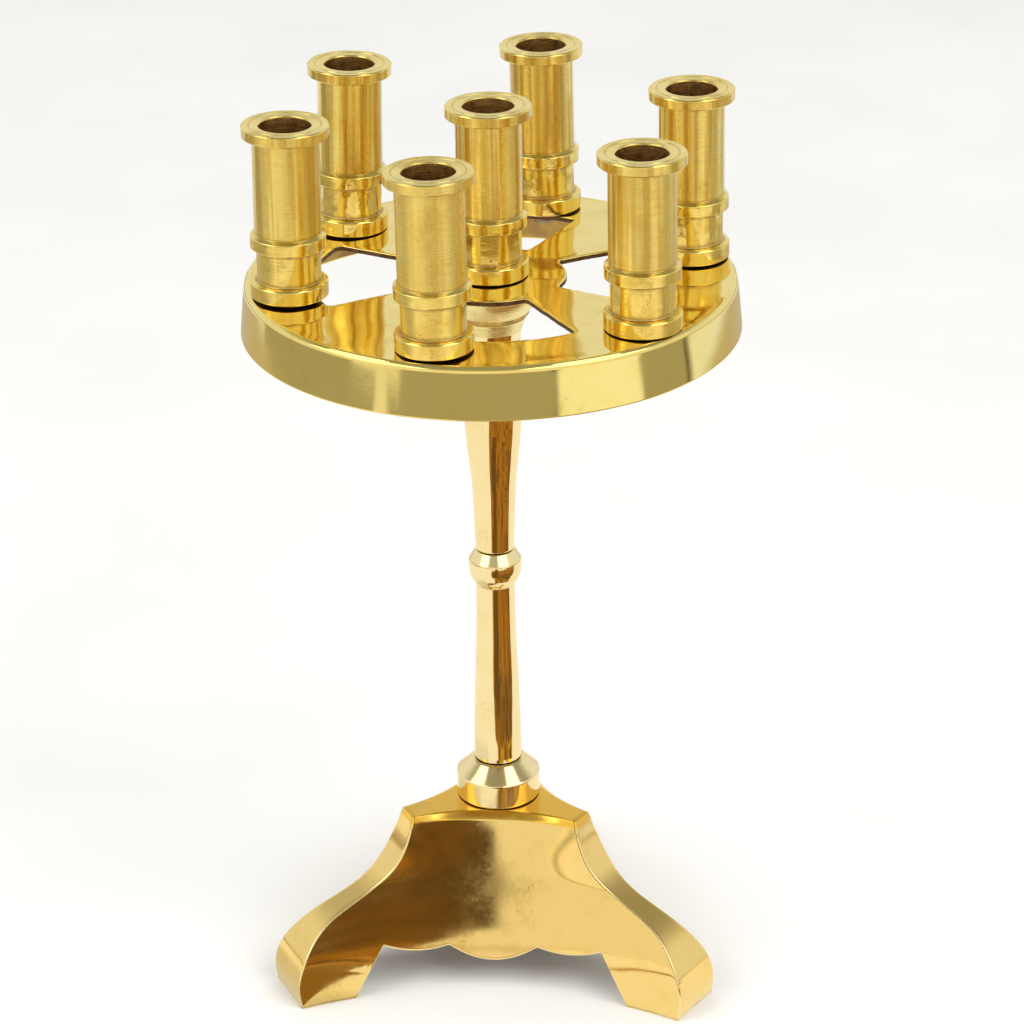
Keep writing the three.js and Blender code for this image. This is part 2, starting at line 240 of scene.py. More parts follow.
class Graph:
    """Short calls that add shader nodes to a new material or world."""

    def __init__(self, name, kind="materials"):
        self.owner = getattr(bpy.data, kind).new(name)
        self.owner.use_nodes = True
        self.tree = self.owner.node_tree
        self.tree.nodes.clear()

    def put(self, socket, value):
        if isinstance(value, bpy.types.NodeSocket):
            self.tree.links.new(value, socket)
        else:
            socket.default_value = value

    def node(self, kind, inputs=None, **settings):
        made = self.tree.nodes.new(kind)
        for key, value in settings.items():
            setattr(made, key, value)
        for key, value in (inputs or {}).items():
            self.put(made.inputs[key], value)
        return made

    def math(self, operation, a, b=0.0, c=0.0):
        return self.node("ShaderNodeMath", {0: a, 1: b, 2: c}, operation=operation).outputs[0]

    def times(self, a, b):
        return self.math("MULTIPLY", a, b)

    def times_plus(self, a, b, c):
        return self.math("MULTIPLY_ADD", a, b, c)

    def parts(self, vector):
        return self.node("ShaderNodeSeparateXYZ", {0: vector}).outputs

    def from_axis(self, x, y):
        return self.math("SQRT", self.math("ADD", self.times(x, x), self.times(y, y)))

    def ramp(self, value, low, high, to_low=0.0, to_high=1.0):
        inputs = {"Value": value, 1: low, 2: high, 3: to_low, 4: to_high}
        made = self.node("ShaderNodeMapRange", inputs, interpolation_type="SMOOTHSTEP")
        return made.outputs[0]

    def noise(self, vector, scale, detail=3.0, roughness=0.55):
        inputs = {"Vector": vector, "Scale": scale, "Detail": detail, "Roughness": roughness}
        return self.node("ShaderNodeTexNoise", inputs).outputs[0]

    def blend(self, share, a, b):
        made = self.node("ShaderNodeMix", {0: share}, data_type="RGBA")
        for slot, value in ((6, a), (7, b)):
            self.put(made.inputs[slot], (*value, 1) if isinstance(value, tuple) else value)
        return made.outputs[2]

    def bump(self, height, distance, strength=1.0, normal=None):
        inputs = {"Height": height, "Distance": distance, "Strength": strength}
        if normal is not None:
            inputs["Normal"] = normal
        return self.node("ShaderNodeBump", inputs).outputs[0]

    def place(self, seed):
        """Object coordinates, in millimetres, moved on by a seed."""
        here = self.node("ShaderNodeTexCoord").outputs["Object"]
        self.local = here
        inputs = {"Location": (seed * 13.7, seed * 5.1, seed * 9.3), "Scale": (1000,) * 3}
        inputs["Vector"] = here
        return self.node("ShaderNodeMapping", inputs).outputs[0]

    def round_marks(self, seed, across, along):
        """Coordinates that change fast along the outline and slowly round the axis."""
        x, y, z = self.parts(self.local)
        run = self.math("ADD", z, self.from_axis(x, y))
        inputs = {
            0: self.times_plus(x, 1000 * across, seed * 1.7),
            1: self.times_plus(y, 1000 * across, seed * 2.9),
            2: self.times_plus(run, 1000 * along, seed * 4.3),
        }
        return self.node("ShaderNodeCombineXYZ", inputs).outputs[0]

    def edge(self):
        return self.node("ShaderNodeAttribute", attribute_name="edge").outputs["Fac"]

    def finish(self, inputs):
        shader = self.node("ShaderNodeBsdfPrincipled", inputs)
        out = self.node("ShaderNodeOutputMaterial")
        self.tree.links.new(shader.outputs[0], out.inputs["Surface"])
        return self.owner

    def metal(self, colour, roughness, normal, more=()):
        inputs = {"Base Color": colour, "Metallic": 1.0, "Roughness": roughness, "Normal": normal}
        inputs.update(more)
        return self.finish(inputs)


BRASS = (0.90, 0.725, 0.22)
BRASS_WARM = (0.86, 0.62, 0.13)
# Paler brass of the column: painted highlight, standing in for its bright, washed-out reflection.
PALE_BRASS_PAINTED_HIGHLIGHT = (0.94, 0.77, 0.41)
BRASS_PLATE = (0.91, 0.74, 0.25)
BRASS_FOOT = (0.93, 0.67, 0.24)
# Orange brass of the foot's top: painted reflection of the plate's brass underside above it.
FOOT_TOP_PAINTED_REFLECTION = (0.95, 0.56, 0.08)
# Brown of the painted upright reflection streaks on the sockets.
PAINTED_REFLECTION_BROWN = (0.58, 0.33, 0.05)
TARNISH = (0.36, 0.21, 0.075)
DIRT = (0.05, 0.026, 0.010)


def brass(
    name, seed, rough, tint, marks=0.0, marks_pitch=0.25, marks_round=0.035, wave=0.0, wave_size=9.0,
    pits=0.0, scratches=0.25, corner_grime_and_shade=0.6, anisotropy=0.0, base=BRASS, painted_reflection=0.0,
):
    """Brass with patina, smudges, turning or brushing marks, scratches and casting pits, with grime and
    painted shade in the inner corners and, where asked, painted upright reflection streaks.
    """
    g = Graph(name)
    place = g.place(seed)
    turned = g.round_marks(seed, marks_round, 1 / marks_pitch)
    edge = g.edge()

    cloud = g.noise(place, 0.11, 4.0)
    fine = g.noise(place, 0.9, 5.0, 0.65)
    lines = g.noise(turned, 1.0, 3.0, 0.7)
    colour = g.blend(g.ramp(cloud, 0.35, 0.7, 0, tint), base, BRASS_WARM)
    stain = g.times(g.ramp(cloud, 0.52, 0.72), g.ramp(fine, 0.42, 0.68, 0, 0.16))
    stain = g.times_plus(g.ramp(lines, 0.5, 0.8), 0.3 * marks, stain)
    colour = g.blend(stain, colour, TARNISH)
    # Brown upright streaks on the upright faces: painted reflection of the room, put into the colour.
    if painted_reflection:
        upright = g.node("ShaderNodeMapping", {"Vector": place, "Scale": (1, 1, 0.03)}).outputs[0]
        facing = g.parts(g.node("ShaderNodeNewGeometry").outputs["Normal"])[2]
        share = g.ramp(g.math("ABSOLUTE", facing), 0.6, 0.3, 0, painted_reflection)
        share = g.times(g.ramp(g.noise(upright, 0.42, 2.5, 0.6), 0.47, 0.60), share)
        colour = g.blend(share, colour, PAINTED_REFLECTION_BROWN)
    # Darkens the inner corners towards tarnish: partly grime, partly painted shade.
    inner = g.ramp(edge, -0.12, -0.95)
    grime_and_shade = g.times(inner, g.ramp(fine, 0.25, 0.6, 0.45 * corner_grime_and_shade, corner_grime_and_shade))
    colour = g.blend(grime_and_shade, colour, TARNISH)
    speck = g.node("ShaderNodeTexVoronoi", {"Vector": place, "Scale": 0.6, "Randomness": 1.0})
    pit = g.times(g.ramp(speck.outputs[0], 0.2, 0.05), g.ramp(cloud, 0.53, 0.62))
    pit = g.times(pit, pits)
    colour = g.blend(pit, colour, DIRT)

    roughness = g.ramp(fine, 0.3, 0.75, rough[0], rough[1])
    roughness = g.times_plus(g.ramp(cloud, 0.45, 0.75), rough[1] * 0.5, roughness)
    roughness = g.times_plus(g.math("ADD", grime_and_shade, pit), 0.35, roughness)
    roughness = g.times_plus(g.ramp(edge, 0.2, 0.9), -0.4 * rough[0], roughness)

    lay = {"Vector": place, "Rotation": (0.4 + seed, 0.7, 1.1 + seed), "Scale": (0.12, 3.0, 3.0)}
    hair = g.node("ShaderNodeMapping", lay).outputs[0]
    scratch = g.ramp(g.noise(hair, 1.0, 2.0, 0.5), 0.68, 0.76)
    normal = g.bump(g.noise(place, 1 / wave_size, 1.5, 0.4), 0.001 * wave_size, wave)
    normal = g.bump(lines, 0.00012, marks, normal)
    normal = g.bump(scratch, -0.00001, scratches, normal)
    normal = g.bump(pit, -0.0001, 0.5, normal)
    turning = {}
    if anisotropy:
        tangent = g.node("ShaderNodeTangent", direction_type="RADIAL", axis="Z").outputs[0]
        turning = {"Anisotropic": anisotropy, "Anisotropic Rotation": 0.25, "Tangent": tangent}
    return g.metal(colour, roughness, normal, turning)


def dark_metal(name, seed, base, rough, marks=0.3):
    """Oxidised or raw metal: a bore, a sawn edge or the inside of a casting."""
    g = Graph(name)
    place = g.place(seed)
    turned = g.round_marks(seed, 0.05, 2.5)
    cloud = g.noise(place, 0.35, 5.0, 0.7)
    grain = g.noise(place, 3.2, 4.0, 0.7)
    lines = g.noise(turned, 1.0, 2.0, 0.6)
    darker = tuple(c * 0.35 for c in base)
    colour = g.blend(g.ramp(cloud, 0.35, 0.7), base, darker)
    colour = g.blend(g.ramp(lines, 0.45, 0.75, 0, 0.5), colour, darker)
    normal = g.bump(grain, 0.00025, 0.5)
    normal = g.bump(lines, 0.0002, marks, normal)
    return g.metal(colour, g.ramp(grain, 0.3, 0.7, rough - 0.1, rough + 0.15), normal)


def steel(name, seed):
    """Bright plated steel of the washer, nut and rod, with painted shade in its inner corners."""
    g = Graph(name)
    place = g.place(seed)
    turned = g.round_marks(seed, 0.06, 3.0)
    cloud = g.noise(place, 0.5, 4.0)
    lines = g.noise(turned, 1.0, 3.0, 0.6)
    colour = g.blend(g.ramp(cloud, 0.4, 0.7), (0.56, 0.55, 0.53), (0.40, 0.37, 0.33))
    # Painted shade: inner corners and thread roots darkened towards near black.
    colour = g.blend(g.ramp(g.edge(), -0.1, -0.9, 0, 0.7), colour, (0.08, 0.06, 0.05))
    return g.metal(colour, g.ramp(cloud, 0.3, 0.7, 0.22, 0.42), g.bump(lines, 0.0001, 0.3))


# ---------------------------------------------------------------- sockets

PLATE_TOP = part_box("plate")[1].z
TURNED, CAST, BORE, HIDDEN = 0, 1, 2, 3
SOCKET_BASE = 0.5
BORE_RADIUS, BORE_FLOOR = 6.2, 14.4
SCREW_HEAD, SCREW_END, SCREW_PITCH = 2.4, 9.5, 0.35
# name: (roughness range, tint, turning marks, cast waviness, pits)
SOCKET_LOOKS = {
    "left": ((0.14, 0.20), 0.45, 0.55, 0.10, 0.6),
    "back_left": ((0.10, 0.16), 0.95, 0.40, 0.18, 0.3),
    "back_right": ((0.11, 0.17), 0.80, 0.45, 0.13, 0.9),
    "right": ((0.11, 0.17), 0.90, 0.45, 0.11, 0.9),
    "front_right": ((0.13, 0.20), 0.75, 0.50, 0.10, 0.8),
    "front_left": ((0.19, 0.26), 0.75, 0.60, 0.08, 0.4),
    "centre": ((0.11, 0.17), 0.45, 0.60, 0.12, 1.0),
}


def socket_outline(hole, lip):
    """Outline of a socket from the top of its blind hole to the floor of its bore."""
    runs = {
        HIDDEN: [(0, 10, 0), (hole, 10, 0.1), (hole, 0, 0.2), (7.6, 0, 0), (8.0, -lip, 0.05)],
        CAST: [
            (9.35, -lip, 0.22), (9.35, 3.3, 0.2), (9.0, 3.68, 0.15), (7.7, 3.85, 0.35),
            (7.7, 12.15, 0.3), (9.1, 12.2, 0.22), (9.12, 15.15, 0.4),
        ],
        TURNED: [
            (8.3, 15.6, 0.15), (7.93, 15.85, 0.08), (7.93, 16.1, 0.08), (8.05, 16.25, 0.1),
            (8.05, 39.25, 0.15), (8.2, 39.65, 0.2), (10.25, 39.72, 0.12), (10.48, 39.95, 0.15),
            (10.48, 42.1, 0.18), (10.2, 42.4, 0.12), (8.82, 42.38, 0.05), (8.7, 42.2, 0.05),
            (8.52, 42.2, 0.05), (8.4, 42.36, 0.05), (6.5, 42.3, 0.12),
        ],
        BORE: [(BORE_RADIUS, 41.95, 0.12), (BORE_RADIUS, BORE_FLOOR, 0.3), (0, BORE_FLOOR, 0)],
    }
    return [(*corner, zone) for zone, corners in runs.items() for corner in corners]


def washer_outline(inner, outer, low, high, fillet):
    return [(r, z, fillet, 0) for r, z in ((inner, low), (outer, low), (outer, high), (inner, high))]


def head_top(lift):
    """Height of the top of a screw's head, under the plate and its spacer."""
    return -SHEET - SPACER_THICK - lift


def screw_outline(lift):
    """Pan head under the plate, and shank up into the socket."""
    top = head_top(lift)
    low = top - SCREW_HEAD
    turns = int((SCREW_END - top - 0.5) / SCREW_PITCH)
    return [
        (0, low - 0.02, 0, 0),
        (1.6, low, 0.6, 0),
        (2.7, low + 0.25, 0.5, 0),
        (3.4, low + 1.1, 0.4, 0),
        (3.4, top, 0.12, 0),
        (1.9, top, 0.1, 0),
        *[(1.9 - 0.22 * (k % 2), top + 0.3 + SCREW_PITCH * k, 0.03, 0) for k in range(turns)],
        (1.6, SCREW_END, 0.1, 0),
        (0, SCREW_END, 0, 0),
    ]


def cut_slot(screw, lift):
    """Cuts the screwdriver slot across the head."""
    low = head_top(lift) - SCREW_HEAD
    box = new_object(
        "slot_cutter",
        [(x, y, z) for x in (-5, 5) for y in (-0.45, 0.45) for z in (low - 2, low + 1.1)],
        [(0, 1, 3, 2), (4, 6, 7, 5), (0, 4, 5, 1), (2, 3, 7, 6), (0, 2, 6, 4), (1, 5, 7, 3)],
        [],
    )
    cut = screw.modifiers.new("slot", "BOOLEAN")
    cut.object = box
    cut.operation = "DIFFERENCE"
    cut.solver = "EXACT"
    apply_modifiers(screw)
    bpy.data.objects.remove(box)
    sharpen(screw, 30)


def apply_modifiers(piece):
    graph = bpy.context.evaluated_depsgraph_get()
    mesh = bpy.data.meshes.new_from_object(piece.evaluated_get(graph))
    piece.modifiers.clear()
    piece.data = mesh


@contextmanager
def mesh_of(piece):
    """The piece's mesh to edit, put back at the end."""
    mesh = bmesh.new()
    mesh.from_mesh(piece.data)
    yield mesh
    mesh.to_mesh(piece.data)
    mesh.free()


def sharpen(piece, degrees):
    """Smooth shading that breaks at edges sharper than an angle."""
    with mesh_of(piece) as mesh:
        for edge in mesh.edges:
            edge.smooth = len(edge.link_faces) == 2 and edge.calc_face_angle() < math.radians(degrees)
        for face in mesh.faces:
            face.smooth = True


def settle(piece, body, nodes, placing=None):
    """Puts a piece in its place, on its body, instead of its CAD nodes."""
    if placing is not None:
        piece.matrix_world = placing
    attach(piece, body)
    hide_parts(*nodes)
    return piece


def socket_placing(name):
    """Matrix of a socket's own axis, whose origin lies on the plate, and the screw's lift."""
    for joint in frame["joints"]:
        if joint["name"] == f"{name}_socket_turn":
            origin, axis = Vector(joint["pos_m"]), Vector(joint["axis"])
            turn = Vector((0, 0, 1)).rotation_difference(axis).to_matrix().to_4x4()
            return Matrix.Translation(origin) @ turn, (origin.z - PLATE_TOP) / MM
    return Matrix.Translation((0, 0, PLATE_TOP)), 0.0


def socket_materials(name, seed):
    rough, tint, marks, wave, pits = SOCKET_LOOKS[name]
    # Strength of the painted reflection streaks, greater on the smoother sockets.
    painted_reflection = 0.3 - rough[1]
    return [
        brass(
            f"{name}_turned", seed, rough, tint, marks, 0.22, 0.03, wave=0.006, pits=pits * 0.4,
            scratches=0.1, anisotropy=0.95, painted_reflection=5 * painted_reflection,
        ),
        brass(
            f"{name}_cast", seed + 3, (rough[0] * 0.6, rough[1] * 0.8), tint, marks * 0.3, 0.5, 0.12,
            wave=wave * 0.35, wave_size=4.0, pits=pits * 0.7, scratches=0.2, painted_reflection=2 * painted_reflection,
        ),
        dark_metal(f"{name}_bore", seed, (0.74, 0.44, 0.14), 0.32),
        dark_metal(f"{name}_base", seed + 1, (0.30, 0.19, 0.09), 0.5),
    ]


def build_socket(name, seed):
    placing, lift = socket_placing(name)
    body, hole = ("stand", ROD_HOLE) if name == "centre" else (f"{name}_socket", SCREW_HOLE)
    outline = socket_outline(hole, 0.08 if name == "left" else 0.25)
    finish = hand_finish(SOCKET_LOOKS[name][3] * 0.3, 3.4, seed, low=0.3, high=15.6)
    looks = socket_materials(name, seed)
    socket = turned_piece(f"socket_{name}_brass", outline, looks, sides=112, shape=finish)
    socket.data.transform(Matrix.Translation((0, 0, SOCKET_BASE * MM)) @ Matrix.Rotation(seed, 4, "Z"))
    settle(socket, body, [f"socket_{name}"], placing)

    ring = washer_outline(hole, 6.8, 0.1, 0.4, 0.08)
    # Dark brown spacer: partly its own colour, partly painted shade that deepens the dark gap line under the
    # socket.
    look = dark_metal(f"{name}_spacer", seed, (0.35, 0.17, 0.07), 0.5)
    spacer = turned_piece(f"spacer_{name}_steel", ring, [look], sides=72, loop=True)
    settle(spacer, body, [f"spacer_{name}"], placing)

    if name != "centre":
        look = dark_metal(f"{name}_screw", seed, (0.40, 0.29, 0.17), 0.38)
        screw = turned_piece(f"screw_{name}_steel", screw_outline(lift), [look], 48)
        cut_slot(screw, lift)
        screw.data.transform(Matrix.Rotation(seed * 1.3, 4, "Z"))
        settle(screw, body, [f"screw_{name}"], placing)


# ---------------------------------------------------------------- column


def column_part(node, outline, looks, seed, amount, size):
    shape = hand_finish(amount, size, seed)
    piece = turned_piece(f"{node}_brass", outline, looks, 144, loop=True, shape=shape)
    settle(piece, "stand", [node])


def shaft_brass(name, seed):
    # Column brass on the paler base: painted highlight.
    return brass(
        name, seed, (0.045, 0.08), 0.15, 0.004, 0.3, 0.01, wave=0.005, wave_size=10, pits=0.15,
        scratches=0.05, base=PALE_BRASS_PAINTED_HIGHLIGHT,
    )


def build_collar():
    outline = [
        (ROD_HOLE, 45.2, 0.2, 0),
        (10.7, 45.2, 0.15, 0),
        (10.8, 45.5, 0.2, 0),
        (10.8, 51.65, 0.8, 0),
        (6.8, 55.3, 0.35, 0),
        (6.3, 55.6, 0.15, 0),
        (ROD_HOLE, 55.6, 0.1, 0),
    ]
    # Collar brass on the paler base: painted highlight.
    look = brass(
        "collar_brass", 21, (0.10, 0.15), 0.2, 0.05, 0.3, 0.01, wave=0.006, wave_size=7, pits=0.15,
        scratches=0.05, base=PALE_BRASS_PAINTED_HIGHLIGHT,
    )
    column_part("column_collar", outline, [look], 21, 0.03, 6)


def build_lower_column():
    shaft = [(6.12, 57), (6.1, 63), (5.75, 76), (5.1, 93), (4.95, 105.5)]
    knop = [(5.1, 105.8), (5.75, 106.5), (6.3, 107.7), (6.65, 109.4), (6.75, 111.0), (6.66, 112.2)]
    outline = [
        (ROD_HOLE, 55.9, 0.1, 0),
        (6.05, 55.9, 0.12, 0),
        *smooth_run(shaft, 34),
        *smooth_run(knop, 12),
        (6.6, 112.5, 0.3, 0),
        (5.0, 115.1, 0.2, 0),
        (4.7, 115.2, 0.1, 0),
        (ROD_HOLE, 115.2, 0.1, 0),
    ]
    column_part("lower_column", outline, [shaft_brass("lower_column_brass", 22)], 22, 0.025, 9)


def build_upper_column():
    narrow = [(4.93, 115.8), (5.2, 124), (5.62, 133), (6.4, 141)]
    wide = [(7.1, 149), (7.3, 159), (7.0, 169), (7.1, 172.5)]
    flare = [(7.5, 175), (8.6, 178.2)]
    head = [(9.3, 179.6), (10.4, 181.2), (11.5, 183.6), (11.8, 186)]
    rings = []
    for k, z in enumerate((178.4, 178.9, 179.4)):
        r = 8.7 + 0.35 * k
        rings += [(r + 0.1, z, 0.05, 1), (r - 0.12, z + 0.16, 0.05, 1), (r + 0.12, z + 0.3, 0.05, 1)]
    outline = [
        (ROD_HOLE, 115.5, 0.1, 0),
        (4.85, 115.5, 0.1, 0),
        *smooth_run(narrow + wide, 40),
        *smooth_run(flare, 6, zone=1),
        *rings,
        *smooth_run(head, 14, zone=1),
        (11.8, 187.4, 0.2, 1),
        (ROD_HOLE, 187.4, 0.1, 0),
    ]
    dull = brass(
        "column_head_brass", 24, (0.22, 0.32), 0.1, 0.6, 0.4, 0.02, pits=0.4, corner_grime_and_shade=0.2,
        base=(0.90, 0.75, 0.33),
    )
    looks = [shaft_brass("upper_column_brass", 23), dull]
    column_part("upper_column", outline, looks, 23, 0.03, 9)


def build_tie_rod():
    low, high = (c.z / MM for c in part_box("tie_rod"))
    turns, pitch = 28, 0.4
    thread = [(2.45 - 0.28 * (k % 2), low + 0.4 + pitch * k, 0.03, 0) for k in range(turns)]
    plain = low + 0.4 + pitch * turns
    outline = [
        (0, low, 0, 0),
        (2.1, low, 0.1, 0),
        *thread,
        (2.4, plain, 0.05, 0),
        (2.4, high - 0.3, 0.1, 0),
        (2.1, high, 0.1, 0),
        (0, high, 0, 0),
    ]
    piece = turned_piece("tie_rod_steel", outline, [steel("rod_steel", 31)], 48, step=8)
    settle(piece, "stand", ["tie_rod"])


def build_foot_fixings():
    low, high = (c.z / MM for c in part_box("foot_washer"))
    ring = washer_outline(ROD_HOLE, 7.5, low, high, 0.15)
    washer = turned_piece("foot_washer_steel", ring, [steel("washer_steel", 32)], 72, loop=True)
    settle(washer, "stand", ["foot_washer"])

    low, high = (c.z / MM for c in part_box("foot_nut"))
    round_corner, corner = 4.1, 4.6
    drop = (corner - round_corner) * math.tan(math.radians(30))
    outline = [
        (ROD_HOLE, low, 0.15, 0),
        (round_corner, low, 0.02, 0),
        (corner, low + drop, 0.02, 0),
        (corner, high - drop, 0.02, 0),
        (round_corner, high, 0.02, 0),
        (ROD_HOLE, high, 0.15, 0),
    ]

    def six_flats(points, _outward):
        radius = np.hypot(points[:, 0], points[:, 1])
        angle = np.arctan2(points[:, 1], points[:, 0])
        half = math.pi / 6
        flat = corner * math.cos(half) / np.cos((angle + half) % (math.pi / 3) - half)
        pulled = np.minimum(radius, np.where(radius > round_corner - 0.1, flat, radius))
        share = pulled / np.maximum(radius, 1e-9)
        return points * np.stack([share, share, np.ones_like(share)], axis=1)

    nut = turned_piece("foot_nut_steel", outline, [steel("nut_steel", 33)], 96, loop=True, shape=six_flats)
    sharpen(nut, 25)
    settle(nut, "stand", ["foot_nut"])


# ---------------------------------------------------------------- plate

RIM_SIDES = 288
FACE, SAWN, SKIRT, UNDERSIDE = 0, 1, 2, 3
TOP_EDGE, UNDER_EDGE = 58.6, 57.8
WINDOW_INNER, WINDOW_OUTER = 18.5, 43.5
WINDOW_HALF = math.radians(28.5)
WINDOW_START = math.radians(3.5)
WINDOW_CORNER = 1.6


def circle(radius, count, x=0.0, y=0.0):
    turn = np.arange(count) * TAU / count
    return np.stack([x + radius * np.cos(turn), y + radius * np.sin(turn)], axis=1)


def polar(radius, angle):
    return np.array((radius * math.cos(angle), radius * math.sin(angle)))


def window_outline(middle):
    """Outline of a cut-out with small round corners, as points about 0.9 mm apart."""
    low, high = middle - WINDOW_HALF, middle + WINDOW_HALF
    c = WINDOW_CORNER
    bends = [
        (WINDOW_INNER, low, 1, 1),
        (WINDOW_OUTER, low, -1, 1),
        (WINDOW_OUTER, high, -1, -1),
        (WINDOW_INNER, high, 1, -1),
    ]
    points = []
    for i, (radius, angle, radial, around) in enumerate(bends):
        on_side = polar(radius + radial * c, angle)
        on_arc = polar(radius, angle + around * c / radius)
        tip = polar(radius, angle)
        start, end = (on_arc, on_side) if i in (0, 2) else (on_side, on_arc)
        for t in np.linspace(0, 1, 6):
            points.append((1 - t) ** 2 * start + 2 * t * (1 - t) * tip + t**2 * end)
        other = bends[(i + 1) % 4]
        if i in (0, 2):
            far = polar(other[0] + other[2] * c, other[1])
            points += [on_side + (far - on_side) * t for t in np.linspace(0, 1, 26)[1:-1]]
        else:
            to = other[1] + other[3] * c / other[0]
            start_turn = angle + around * c / radius
            for t in np.linspace(start_turn, to, int(abs(to - start_turn) * radius / 0.9))[1:-1]:
                points.append(polar(radius, t))
    return np.array(points)


def outward(outline):
    """Unit vectors that point out of a closed anticlockwise outline."""
    ahead = np.roll(outline, -1, axis=0) - np.roll(outline, 1, axis=0)
    out = np.stack([ahead[:, 1], -ahead[:, 0]], axis=1)
    return out / np.linalg.norm(out, axis=1)[:, None]


def roughened(outline, amount, seed):
    """Moves the points of an outline in and out, as a saw and file leave them."""
    flat = level(outline, 0.0)
    move = 0.6 * waves(flat, 1.4, seed) + 0.8 * waves(flat, 6.0, seed + 1)
    return outline + outward(outline) * (amount * move)[:, None]


def shrunk(outline, amount):
    return outline - outward(outline) * amount


def inside(points, outline):
    """Which points lie inside a closed outline."""
    x, y = points[:, 0:1], points[:, 1:2]
    x0, y0 = outline[:, 0], outline[:, 1]
    x1, y1 = np.roll(x0, -1), np.roll(y0, -1)
    crosses = (y0 > y) != (y1 > y)
    with np.errstate(divide="ignore", invalid="ignore"):
        at = (x1 - x0) * (y - y0) / (y1 - y0) + x0
    return (np.sum(crosses & (x < at), axis=1) % 2) == 1


def pierced_disc(outer, holes, spacing):
    """Triangles of a disc with holes, with points about spacing apart. Also gives the points."""
    reach = np.abs(outer).max()
    rows = np.arange(-reach, reach, spacing * 0.866)
    across = np.arange(-reach, reach, spacing)
    grid = np.array([(x + (i % 2) * spacing / 2, y) for i, y in enumerate(rows) for x in across])
    keep = np.hypot(grid[:, 0], grid[:, 1]) < np.hypot(*outer[0]) - 0.6 * spacing
    for hole in holes:
        keep &= ~inside(grid, hole)
        gap = np.linalg.norm(grid[:, None] - hole[None], axis=2).min(axis=1)
        keep &= gap > 0.55 * spacing
    rings = [outer, *holes]
    points = np.concatenate([*rings, grid[keep]])
    edges, start = [], 0
    for ring in rings:
        n = len(ring)
        edges += [(start + i, start + (i + 1) % n) for i in range(n)]
        start += n
    made, _, faces, *_ = geometry.delaunay_2d_cdt([Vector(p) for p in points], edges, [], 0, 1e-6)
    made = np.array([tuple(p) for p in made])
    middles = np.array([made[list(f)].mean(axis=0) for f in faces])
    solid = inside(middles, outer)
    for hole in holes:
        solid &= ~inside(middles, hole)
    return made, [tuple(f) for f, s in zip(faces, solid) if s]


class Shell:
    """Collects vertices and faces with a zone each, for one mesh."""

    def __init__(self):
        self.vertices, self.faces, self.zones, self.marks = [], [], [], []

    def add(self, points, faces, zone, marks=None):
        start = len(self.vertices)
        self.vertices += [tuple(p) for p in points]
        self.faces += [tuple(start + v for v in f) for f in faces]
        self.zones += [zone] * len(faces)
        self.marks += [0.0] * len(points) if marks is None else list(marks)

    def band(self, rows, zone, marks=None):
        """Quads between closed rings of equal length. They face out where rows go up anticlockwise."""
        rows = np.asarray(rows)
        count, n = rows.shape[:2]
        faces = [
            (r * n + i, r * n + (i + 1) % n, (r + 1) * n + (i + 1) % n, (r + 1) * n + i)
            for r in range(count - 1)
            for i in range(n)
        ]
        flat = None if marks is None else np.repeat(marks, n)
        self.add(rows.reshape(-1, 3), faces, zone, flat)

    def joined(self, name, materials, shape):
        piece = new_object(name, self.vertices, self.faces, materials, self.zones, self.marks)
        with mesh_of(piece) as mesh:
            bmesh.ops.remove_doubles(mesh, verts=mesh.verts, dist=2e-6)
            bmesh.ops.recalc_face_normals(mesh, faces=mesh.faces)
        at = np.array([v.co for v in piece.data.vertices]) / MM
        piece.data.vertices.foreach_set("co", (shape(at) * MM).ravel())
        piece.data.update()
        return piece


def level(ring, z):
    return np.c_[ring, np.full(len(ring), z)]


def plate_rim_rows():
    """Rings of the rolled edge, the skirt, its lower lip and its inner face."""
    high, low = PLATE_TOP / MM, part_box("plate")[0].z / MM
    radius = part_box("plate")[1].x / MM
    outline = [
        (UNDER_EDGE, high - SHEET, 0, 0),
        (radius - 2.9, high - SHEET, 0.5, 0),
        (radius - 1.6, low, 0.3, 0),
        (radius, low, 0.35, 0),
        (radius - 1.2, high - 0.9, 1.4, 0),
        (radius - 2.1, high, 0.7, 0),
        (TOP_EDGE, high, 0, 0),
    ]
    points, _, bends = rounded(outline, 1.2, False)
    return [level(circle(r, RIM_SIDES), z) for r, z in points], bends


def from_axis(points):
    """Distance of points from the axis, and level unit vectors away from it."""
    radius = np.hypot(points[:, 0], points[:, 1])
    return radius, points[:, :2] / np.maximum(radius, 1e-6)[:, None]


def plate_shape(points):
    """Slow unevenness of hand-polished sheet, in the top and round the skirt."""
    radius, out = from_axis(points)
    on_rim = np.clip((radius - 57.5) / 2, 0, 1) * np.clip((PLATE_TOP / MM - points[:, 2]) / 1.5, 0, 1)
    around = np.c_[out * 60, points[:, 2] * 0.6]
    wobble = 0.10 * waves(around, 22, 41, 1) + 0.006 * waves(around, 6, 42, 1)
    flat = 0.22 * waves(points * (1, 1, 0), 15, 43, 1) + 0.003 * waves(points * (1, 1, 0), 6, 44, 1)
    moved = points.copy()
    moved[:, :2] += out * (on_rim * wobble)[:, None]
    moved[:, 2] += (1 - on_rim) * np.clip((59.6 - radius) / 2, 0, 1) * (flat - 0.09)
    return moved


